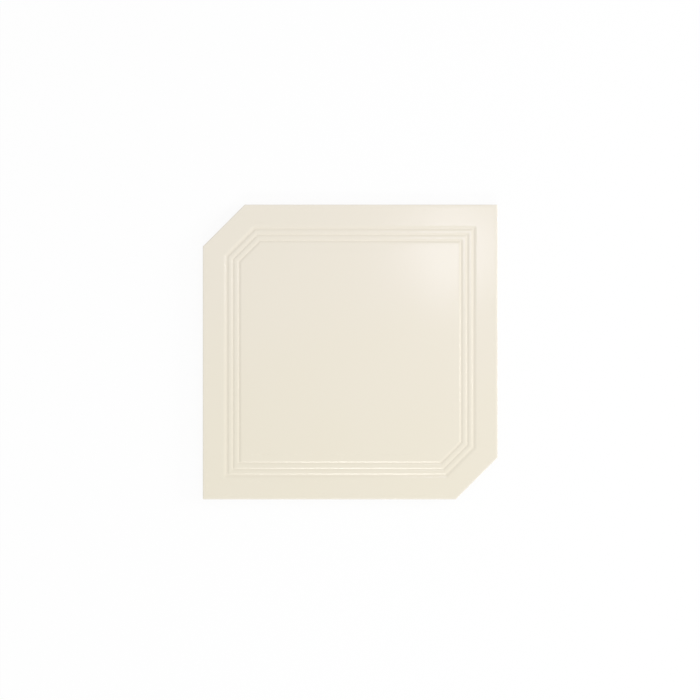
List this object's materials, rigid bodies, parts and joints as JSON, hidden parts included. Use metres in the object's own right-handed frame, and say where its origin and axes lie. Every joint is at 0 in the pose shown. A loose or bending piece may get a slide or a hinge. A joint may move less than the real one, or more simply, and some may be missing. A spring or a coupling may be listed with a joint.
{
  "type": "porcelain tile",
  "caption": "Flat glazed porcelain tile, a square with opposite corners cut off at 45 degrees, with a moulded frame of fine parallel grooves around a plain panel and a keyed back.",
  "frame": {"origin": "middle of the back, on the plane of its ribs", "axes": "+Z out of the glazed face, +X to the right and +Y to the rear, with the cut corners at left rear and right front"},
  "size_m": [0.2, 0.2, 0.009],
  "materials": {
    "cream_glaze": "soft gloss cream glaze on the face and over its edge, bare pale porcelain body on the sides and back"
  },
  "bodies": {
    "root": {"tile": "cream_glaze"}
  },
  "joints": []
}
